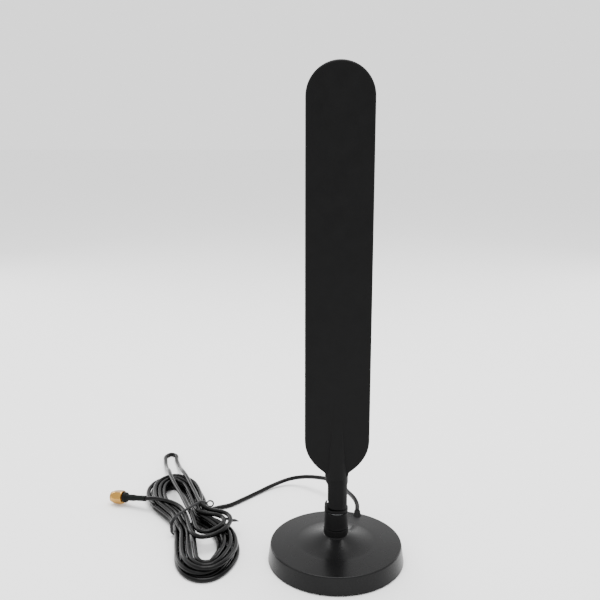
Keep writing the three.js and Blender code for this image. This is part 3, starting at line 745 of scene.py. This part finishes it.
def fork_cuts():
    """The slot between the ears, the flats, and the relief that lets the blade fold to the left."""
    below = NECK_BOTTOM - 1
    yield block("slot", (-8, -EAR_INNER, below), (8, EAR_INNER, PIVOT.z))
    yield pivot_bar("slot_top", TONGUE_RADIUS + 0.5, -EAR_INNER, EAR_INNER)
    yield block("slot_sides", (-8, -EAR_INNER, PIVOT.z - 1), (8, EAR_INNER, PIVOT.z + 5.4))
    yield block("front_flat", (-8, -9, below), (8, -EAR_OUTER, EAR_TOP))
    yield block("rear_flat", (-8, EAR_OUTER, below), (8, 9, EAR_TOP))
    curve = bezier((-EAR_LEFT, 46.5), (-EAR_LEFT, 48.4), (-5.3, 49.8), (-7.0, 51.0), 10)
    yield prism("relief", [(-EAR_LEFT, below)] + curve + [(-9, 51.0), (-9, below)], -9, 9)
    corner = block("corner", (-9, -9, below), (0, 9, PIVOT.z))
    yield combine(corner, pivot_bar("swing", EAR_SWING, -10, 10))
    yield pivot_bar("pin_hole", 1.25, -5.6, 5.6, 32)


def blade_hollow():
    depth = HALF_THICKNESS - WALL
    half = HALF_WIDTH - 2.4
    outline = [(half - 6, 70.5), (half, 79)]
    for k in range(33):
        angle = math.pi * k / 32
        outline.append((half * math.cos(angle), CROWN + half * math.sin(angle)))
    outline += [(-half, 79), (-half + 6, 70.5)]
    channel = turned("channel", [(0, 48), (1.7, 48), (1.7, 72), (0, 72)], 24)
    return combine(prism("hollow", outline, -depth, depth), channel, "UNION")


def blade_body():
    neck_profile = [
        (0, NECK_BOTTOM),
        (NECK_RADIUS, NECK_BOTTOM),
        (NECK_RADIUS, NECK_TO_BLADE + 1),
        (HALF_THICKNESS - 0.02, 106),
        (0, 106),
    ]
    body = combine(blade_slab(), turned("neck", neck_profile, 96), "UNION")
    for tool in fork_cuts():
        combine(body, tool)
    return combine(body, blade_hollow())


SEAM = 0.06
rear_shell = blade_body()
rear_shell.name = "blade_rear"
front_shell = link("blade_front", rear_shell.data.copy())
combine(rear_shell, block("front_half", (-40, -20, 0), (40, SEAM, 300)))
combine(front_shell, block("rear_half", (-40, -SEAM, 0), (40, 20, 300)))
shade(rear_shell, 30)
shade(front_shell, 30)

# ---- Plug on the cord's end ----
PLUG_TURN = Vector((0, 0, 1)).rotation_difference(PLUG_AXIS).to_matrix().to_4x4()
ONTO_PLUG = Matrix.Translation(PLUG_NOSE) @ PLUG_TURN
HEX_FLATS = 8
NUT_LENGTH = 8
THREAD_PITCH = 0.706


def plug_nut_piece():
    """A hexagon nut, tapered to its nose and chamfered behind, with the thread in its bore."""
    corner = HEX_FLATS / math.sqrt(3)
    nut = turned("plug_hex_nut", [(0, 0), (corner, 0), (corner, NUT_LENGTH), (0, NUT_LENGTH)], 6)
    taper = fillet(
        [
            (0, 0),
            (3.75, 0, 0.25),
            (4.15, 1.0, 0.6),
            (corner + 0.05, 3.6, 2.0),
            (corner + 0.05, NUT_LENGTH - 0.9, 0.3),
            (corner - 0.55, NUT_LENGTH, 0.15),
            (0, NUT_LENGTH),
        ]
    )
    combine(nut, turned("taper", taper, 96), "INTERSECT")
    thread = [(0, -1), (3.5, -1), (3.5, 0.35)]
    for k in range(7):
        height = 0.35 + k * THREAD_PITCH
        thread += [(3.05, height + THREAD_PITCH / 2), (3.5, height + THREAD_PITCH)]
    thread += [(3.5, 5.7), (2.6, 5.7), (2.6, NUT_LENGTH - 0.8)]
    thread += [(3.75, NUT_LENGTH - 0.7), (3.75, NUT_LENGTH + 1)]
    thread += [(0, NUT_LENGTH + 1)]
    combine(nut, turned("thread", thread, 64))
    return shade(moved(nut, ONTO_PLUG), 24)


plug_nut = plug_nut_piece()
plug_body = turned(
    "plug_shell",
    fillet(
        [
            (2.05, 2.2),
            (2.3, 2.2, 0.1),
            (2.3, 3.6),
            (3.0, 3.6, 0.1),
            (3.0, 5.4, 0.1),
            (2.4, 5.4),
            (2.4, NUT_LENGTH + 0.4),
            (3.0, NUT_LENGTH + 0.4, 0.15),
            (3.0, 10.2, 0.15),
            (2.05, 10.2),
        ]
    ),
    64,
)
shade(moved(plug_body, ONTO_PLUG))


def shrink_piece():
    """Heat-shrink tube drawn tight over the plug's flange, the ferrule and the start of the cord."""
    profile = [(0, FERRULE_END + 0.2), (1.85, FERRULE_END + 0.2), (1.85, 10.4), (3.12, 10.4), (3.12, 8.5)]
    profile += [(3.42, 8.5, 0.14), (3.42, 10.3, 0.5), (2.35, 11.4, 0.8)]
    steps = 24
    for k in range(steps):
        height = 12.0 + (SHRINK_END - 12.6) * k / steps
        settle = smoothstep(FERRULE_END - 0.6, FERRULE_END + 1.6, height)
        wrinkle = 0.025 * math.sin(height * 2.9) + 0.015 * math.sin(height * 6.1)
        profile.append((2.12 - 0.25 * settle + wrinkle, height))
    profile += [(1.86, SHRINK_END, 0.12), (0, SHRINK_END)]
    return shade(moved(turned("heat_shrink_sleeve", fillet(profile), 48), ONTO_PLUG), 40)


shrink = shrink_piece()

# ---- Twist tie round the hank's waist ----
TIE_CENTRE = Vector((-91.8, 38.2))
TIE_AZIMUTH = 56
TIE_LOOP = [(-16.3, 3.4), (-16.1, 8.6), (-12.6, 11.9), (-4, 12.7), (6, 12.7), (13.2, 12.2), (16.2, 9.0)]
TIE_LOOP += [(16.3, 3.4), (14.6, 1.0), (5, 0.8), (-5, 0.8), (-14.6, 1.0)]
TIE_RING = [(-83.9, 50.6, 11.2), (-82.9, 53.5, 9.2), (-82.5, 56.0, 7.2)]
RING_CENTRE = Vector((-80.4, 57.4, 6.0))
RING_RADIUS = 2.1
for step in range(11):
    angle = math.radians(165 - 34 * step)
    TIE_RING.append(tuple(RING_CENTRE + RING_RADIUS * Vector((math.cos(angle), 0, math.sin(angle)))))
TIE_TAIL = [(-84.6, 47.2, 12.4), (-80.6, 43.4, 10.6), (-75.6, 38.4, 8.9), (-69.6, 33.4, 8.7)]
TIE_TAIL += [(-64.6, 30.2, 8.8), (-61.2, 28.9, 8.9), (-59.4, 28.4, 8.9)]


def tie_piece():
    """The flat band, a small upright ring at its twisted end, and the other end's tail, with a wide tip."""
    along = Vector((math.cos(math.radians(TIE_AZIMUTH)), math.sin(math.radians(TIE_AZIMUTH))))
    across = Vector((-along.y, along.x, 0))
    loop = catmull_rom([(t, 0, z) for t, z in TIE_LOOP + TIE_LOOP[:1]], 6)[:-1]
    bm = bmesh.new()
    rings = []
    for i, point in enumerate(loop):
        tangent = (loop[(i + 1) % len(loop)] - loop[i - 1]).normalized()
        outward = Vector((tangent.z, 0, -tangent.x))
        ring = []
        for k in range(12):
            angle = 2 * math.pi * k / 12
            side = 1.25 * math.cos(angle)
            out = 0.38 * math.sin(angle)
            t = point.x + outward.x * out
            z = point.z + outward.z * out
            spot = Vector((*(TIE_CENTRE + along * t), z)) + across * side
            ring.append(bm.verts.new(spot * MM))
        rings.append(ring)
    for one, other in zip(rings, rings[1:] + rings[:1]):
        for k in range(12):
            after = (k + 1) % 12
            bm.faces.new((one[k], one[after], other[after], other[k]))
    band = finish_mesh("wire_tie", bm)
    ring_line = catmull_rom(TIE_RING, 5)
    small_ring = tube("ring", ring_line, [(0.62, 0.5)] * len(ring_line))
    tail_line = catmull_rom(TIE_TAIL, 5)
    sections = []
    for i in range(len(tail_line)):
        left = (len(tail_line) - 1 - i) / 7
        sections.append((0.12 + 1.9 * min(1, left) - 0.8 * smoothstep(1.0, 1.8, left), 0.28))
    tail = tube("tail", tail_line, sections)
    with_ring = bmesh.new()
    for part in (band, small_ring, tail):
        with_ring.from_mesh(part.data)
    with_ring.to_mesh(band.data)
    with_ring.free()
    bpy.data.objects.remove(small_ring)
    bpy.data.objects.remove(tail)
    return shade(band, 45)


tie = tie_piece()

# ---- Which piece rides on what ----
PIECES = [
    (cord, "base", "cable_jacket", JACKET, ["cord_lead", "cord_hank", "cord_stray_loop"]),
    (base, "base", "base_plastic", BASE_PLASTIC, ["base_shell"]),
    (boot, "base", "rubber", RUBBER, ["cable_boot"]),
    (seal, "base", "rubber", RUBBER, ["seal_ring"]),
    (sleeve, "sleeve", "base_plastic", BLADE_PLASTIC, ["coupling_sleeve"]),
    (knuckle, "knuckle", "base_plastic", BLADE_PLASTIC, ["hinge_knuckle"]),
    (front_shell, "blade", "blade_plastic", BLADE_PLASTIC, ["blade_front_shell"]),
    (rear_shell, "blade", "blade_plastic", BLADE_PLASTIC, ["blade_rear_shell"]),
    (plug_nut, "cord_plug_nut", "gold_plate", GOLD, ["plug_nut"]),
    (plug_body, "base", "gold_plate", GOLD, ["plug_body"]),
    (shrink, "base", "shrink", SHRINK, ["heat_shrink"]),
    (tie, "base", "tie", TIE_FILM, ["twist_tie"]),
]
for piece, body, slot, material, nodes in PIECES:
    piece.data.materials.clear()
    piece.data.materials.append(material)
    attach(piece, body)
    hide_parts(*nodes)

CAD_LOOKS = {
    RUBBER: ["foot_pad"],
    STEEL: [
        "base_plate",
        "flux_plate",
        "base_screw_1",
        "base_screw_2",
        "base_screw_3",
        "jack_lock_washer",
        "swivel_washer",
        "hinge_pin",
    ],
    FERRITE: ["magnet_ring"],
    JACKET: ["base_coax", "hinge_coax", "blade_coax"],
    GOLD: [
        "sma_jack_body",
        "jack_socket",
        "jack_nut",
        "antenna_sma_nut",
        "antenna_plug_body",
        "antenna_plug_pin",
        "plug_pin",
        "crimp_ferrule",
    ],
    PTFE: ["jack_insulator", "antenna_plug_insulator", "plug_insulator"],
    BOARD: ["radiator_board"],
    COPPER: ["radiating_element", "ground_element"],
    GASKET: ["plug_gasket"],
}
for material, nodes in CAD_LOOKS.items():
    for node in nodes:
        NODES[node].material_slots[0].material = material

# ---- Studio ----
floor_mesh = bpy.data.meshes.new("floor")
floor_mesh.from_pydata([(-6, -6, 0), (6, -6, 0), (6, 6, 0), (-6, 6, 0)], [], [(0, 1, 2, 3)])
floor = link("floor", floor_mesh)
paper = bpy.data.materials.new("paper")
paper.use_nodes = True
paper.node_tree.nodes["Principled BSDF"].inputs["Base Color"].default_value = (0.95, 0.95, 0.95, 1)
paper.node_tree.nodes["Principled BSDF"].inputs["Roughness"].default_value = 0.9
paper.node_tree.nodes["Principled BSDF"].inputs["Specular IOR Level"].default_value = 0.1
floor_mesh.materials.append(paper)

world = bpy.data.worlds.new("studio")
world.use_nodes = True
world.node_tree.nodes["Background"].inputs["Color"].default_value = (1, 1, 1, 1)
world.node_tree.nodes["Background"].inputs["Strength"].default_value = 1.6
bpy.context.scene.world = world


def softbox(name, place, target, size, power):
    """A square area light, aimed at a point; metres."""
    light = bpy.data.lights.new(name, "AREA")
    light.size = size
    light.energy = power
    lamp = bpy.data.objects.new(name, light)
    lamp.location = place
    lamp.rotation_euler = (Vector(target) - Vector(place)).to_track_quat("-Z", "Y").to_euler()
    bpy.context.scene.collection.objects.link(lamp)


softbox("overhead", (-0.02, 0.1, 1.05), (-0.02, 0.02, 0.0), 0.7, 15)
softbox("rear_left", (-0.8, 0.7, 0.35), (0.0, 0.0, 0.02), 0.4, 3)
softbox("rear_right", (0.8, 0.7, 0.35), (0.0, 0.0, 0.02), 0.4, 3)
